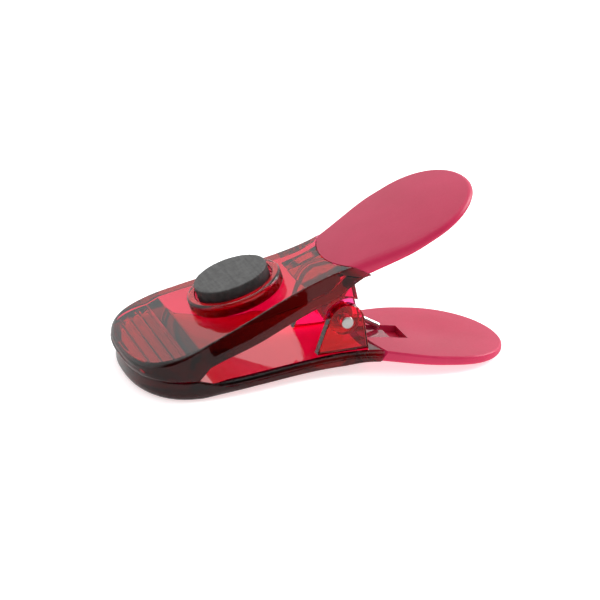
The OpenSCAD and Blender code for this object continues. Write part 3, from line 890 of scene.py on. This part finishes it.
def grip_pink(name):
    material, tree, shader = node_material(name)
    coords = object_place(tree)
    cloud = noise(tree, coords, scale=60, detail=4)
    colour = ramp(tree, cloud, (0.3, (0.52, 0.012, 0.068)), (0.7, (0.60, 0.02, 0.092)))
    tree.links.new(colour, shader.inputs["Base Color"])
    grain = noise(tree, coords, scale=1800, detail=3)
    tree.links.new(spread(tree, grain, 0.34, 0.46), shader.inputs["Roughness"])
    bump(tree, shader, noise(tree, coords, scale=3500, detail=2), strength=0.08, distance=0.0001)
    shader.inputs["IOR"].default_value = 1.42
    return material


def steel(name):
    material, tree, shader = node_material(name)
    coords = object_place(tree)
    shader.inputs["Metallic"].default_value = 1.0
    cloud = noise(tree, coords, scale=500, detail=4)
    colour = ramp(tree, cloud, (0.3, (0.74, 0.70, 0.66)), (0.7, (0.93, 0.90, 0.87)))
    tree.links.new(colour, shader.inputs["Base Color"])
    grain = noise(tree, coords, scale=2500, detail=3)
    tree.links.new(spread(tree, grain, 0.2, 0.42), shader.inputs["Roughness"])
    bump(tree, shader, noise(tree, coords, scale=3000, detail=2), strength=0.15, distance=0.0001)
    return material


def ferrite():
    """Grey brushed face and a darker side, told apart by the surface's direction; the darker side is painted
    shade.
    """
    material, tree, shader = node_material("ferrite")
    coords = tree.nodes.new("ShaderNodeTexCoord")
    cloud = noise(tree, coords.outputs["Object"], scale=700, detail=5, roughness=0.65)
    mapping = tree.nodes.new("ShaderNodeMapping")
    mapping.inputs["Rotation"].default_value = (0, 0, math.radians(6))
    mapping.inputs["Scale"].default_value = (9, 0.8, 1)
    tree.links.new(coords.outputs["Object"], mapping.inputs["Vector"])
    scratch = noise(tree, mapping.outputs["Vector"], scale=150, detail=3, roughness=0.6)
    worn = calc(tree, "MULTIPLY_ADD", scratch, 0.5, calc(tree, "MULTIPLY", cloud, 0.5))
    face = ramp(tree, worn, (0.40, (0.042, 0.042, 0.041)), (0.60, (0.098, 0.098, 0.096)))
    # Painted shade: the side is given a darker colour than the face because of the way it faces
    side = ramp(tree, cloud, (0.35, (0.012, 0.010, 0.010)), (0.65, (0.034, 0.028, 0.027)))
    turned = tree.nodes.new("ShaderNodeVectorMath")
    turned.operation = "DOT_PRODUCT"
    turned.inputs[1].default_value = tuple(face_axis)
    tree.links.new(coords.outputs["Normal"], turned.inputs[0])
    blend = tree.nodes.new("ShaderNodeMix")
    blend.data_type = "RGBA"
    tree.links.new(spread(tree, turned.outputs["Value"], 0.0, 1.0), blend.inputs["Factor"])
    tree.links.new(side, blend.inputs["A"])
    tree.links.new(face, blend.inputs["B"])
    tree.links.new(blend.outputs["Result"], shader.inputs["Base Color"])
    tree.links.new(spread(tree, worn, 0.42, 0.62), shader.inputs["Roughness"])
    bump(tree, shader, worn, strength=0.25, distance=0.00012)
    return material


def glue():
    material, tree, shader = node_material("dull_glue")
    cloud = noise(tree, object_place(tree), scale=400, detail=4)
    colour = ramp(tree, cloud, (0.3, (0.42, 0.40, 0.35)), (0.7, (0.56, 0.53, 0.48)))
    tree.links.new(colour, shader.inputs["Base Color"])
    tree.links.new(spread(tree, cloud, 0.35, 0.6), shader.inputs["Roughness"])
    bump(tree, shader, cloud, strength=0.2, distance=0.0001)
    return material


# The pieces, each on its body
upper_red = clear_red("clear_red_upper", (0.902, 0.0, 0.49), density=960, ripple=0.0)
lower_red = clear_red("clear_red_lower", (0.945, 0.0, 0.47), density=1700, ripple=0.0)
cup_red = clear_red("clear_red_cup", (0.91, 0.0, 0.49), density=960, ripple=0.2)
finished(lower_arm(), "lower", "lower_arm", lower_red)
finished(lower_grip(), "lower", "lower_grip", grip_pink("soft_pink_lower"))
finished(upper_arm(), "upper", "upper_arm", upper_red)
finished(upper_grip(), "upper", "upper_grip", grip_pink("soft_pink_upper"))
finished(pivot_pin(), "lower", "pivot_pin", steel("pin_steel"))
finished(magnet_cup(), "upper", "magnet_cup", cup_red)
finished(magnet_adhesive(), "upper", "magnet_adhesive", glue())
finished(magnet(), "upper", "magnet", ferrite())
spring = torsion_spring()
spring.data.materials.append(steel("spring_steel"))
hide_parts("torsion_spring")
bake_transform(spring)


# White floor: it keeps the shadow, shows a set level to mirrored and refracted rays, and glows for diffuse rays
# as painted fill light on the object
def floor_plane():
    material, tree, shader = node_material("white_floor")
    shader.inputs["Base Color"].default_value = (0.92, 0.92, 0.92, 1)
    shader.inputs["Roughness"].default_value = 0.9
    shader.inputs["Specular IOR Level"].default_value = 0.0
    path = tree.nodes.new("ShaderNodeLightPath").outputs
    own_light = tree.nodes.new("ShaderNodeEmission")
    straight = calc(tree, "MULTIPLY", path["Is Camera Ray"], 0.6)
    # Painted fill light: the floor glows for diffuse rays and lights the grips, pin, spring, glue and magnet as
    # a lamp would
    fill_glow = calc(tree, "MULTIPLY_ADD", path["Is Diffuse Ray"], 0.7, straight)
    through = calc(tree, "MULTIPLY_ADD", path["Is Transmission Ray"], 0.75, fill_glow)
    tree.links.new(through, own_light.inputs["Strength"])
    lift = tree.nodes.new("ShaderNodeAddShader")
    tree.links.new(shader.outputs[0], lift.inputs[0])
    tree.links.new(own_light.outputs[0], lift.inputs[1])
    mirrored = tree.nodes.new("ShaderNodeEmission")
    mirrored.inputs["Strength"].default_value = 0.65
    mix = tree.nodes.new("ShaderNodeMixShader")
    only_mirror = calc(tree, "SUBTRACT", path["Is Glossy Ray"], path["Is Transmission Ray"], clamp=True)
    tree.links.new(only_mirror, mix.inputs["Fac"])
    tree.links.new(lift.outputs[0], mix.inputs[1])
    tree.links.new(mirrored.outputs[0], mix.inputs[2])
    tree.links.new(mix.outputs[0], tree.nodes["Material Output"].inputs["Surface"])
    cells, size, level = 24, 1.6, -0.0002
    row = cells + 1
    verts = [(size*(i/cells - 0.5), size*(j/cells - 0.5), level) for i in range(row) for j in range(row)]
    corners = [i*row + j for i in range(cells) for j in range(cells)]
    mesh = bpy.data.meshes.new("floor")
    mesh.from_pydata(verts, [], [(c, c + row, c + row + 1, c + 1) for c in corners])
    obj = bpy.data.objects.new("floor", mesh)
    bpy.context.scene.collection.objects.link(obj)
    mesh.materials.append(material)


# World: white to the camera, even for diffuse rays, and dark low in front for reflections
def studio_world():
    world = bpy.data.worlds.new("studio")
    bpy.context.scene.world = world
    world.use_nodes = True
    tree = world.node_tree
    coords = tree.nodes.new("ShaderNodeTexCoord")
    parts = tree.nodes.new("ShaderNodeSeparateXYZ")
    tree.links.new(coords.outputs["Generated"], parts.inputs[0])
    front = spread(tree, parts.outputs["Y"], 0.03, 1.0, -0.55, 0.1, "SMOOTHSTEP")
    high = spread(tree, parts.outputs["Z"], 0.0, 1.0, 0.55, 0.85, "SMOOTHSTEP")
    path = tree.nodes.new("ShaderNodeLightPath").outputs
    seen = calc(tree, "MAXIMUM", path["Is Camera Ray"], calc(tree, "MAXIMUM", front, high))
    not_diffuse = calc(tree, "MULTIPLY_ADD", path["Is Diffuse Ray"], -1.0, 1.0)
    sharp = calc(tree, "MULTIPLY", seen, not_diffuse)
    level = calc(tree, "MULTIPLY_ADD", path["Is Diffuse Ray"], 0.58, sharp)
    background = tree.nodes["Background"]
    tree.links.new(level, background.inputs["Strength"])
    background.inputs["Color"].default_value = (1, 1, 1, 1)


def softbox(name, spot, target, size, power):
    light = bpy.data.lights.new(name, "AREA")
    light.shape = "RECTANGLE"
    light.size, light.size_y = size
    light.energy = power
    obj = bpy.data.objects.new(name, light)
    bpy.context.scene.collection.objects.link(obj)
    obj.location = spot
    obj.rotation_euler = (Vector(target) - Vector(spot)).to_track_quat("-Z", "Y").to_euler()


# Camera: placed about the pin at the photograph's viewing angle, with the pin at its place in the picture
PICTURE = 600
FOCAL = 2554.96
PIN_IN_PICTURE = (332.94, 307.88)
SENSOR = 36.0
AZIMUTH, ELEVATION = math.radians(-17.915), math.radians(19.785)
DISTANCE = 612.6*MM


def photo_camera():
    data = bpy.data.cameras.new("camera")
    camera = bpy.data.objects.new("camera", data)
    bpy.context.scene.collection.objects.link(camera)
    bpy.context.scene.camera = camera
    data.sensor_width = SENSOR
    data.lens = FOCAL/PICTURE*SENSOR
    data.clip_start = 0.01
    ca, sa, ce, se = math.cos(AZIMUTH), math.sin(AZIMUTH), math.cos(ELEVATION), math.sin(ELEVATION)
    back = Vector((sa*ce, -ca*ce, se))
    right = Vector((ca, sa, 0))
    up = Vector((-sa*se, ca*se, ce))
    aside = (PIN_IN_PICTURE[0] - PICTURE/2)/FOCAL*DISTANCE
    above = -(PIN_IN_PICTURE[1] - PICTURE/2)/FOCAL*DISTANCE
    lean = turn(REST).to_3x3()
    spot = pin_place + lean @ (back*DISTANCE - right*aside - up*above)
    axes = Matrix((lean @ right, lean @ up, lean @ back)).transposed().to_4x4()
    camera.matrix_world = Matrix.Translation(spot) @ axes


floor_plane()
studio_world()
softbox("top_softbox", (-0.05, 0.10, 0.55), (0, 0, 0.01), size=(0.5, 0.4), power=0.9)
softbox("right_softbox", (0.5, 0.05, 0.3), (0.03, 0, 0.01), size=(0.4, 0.3), power=2.3)
photo_camera()

bpy.context.scene.view_settings.view_transform = "Standard"
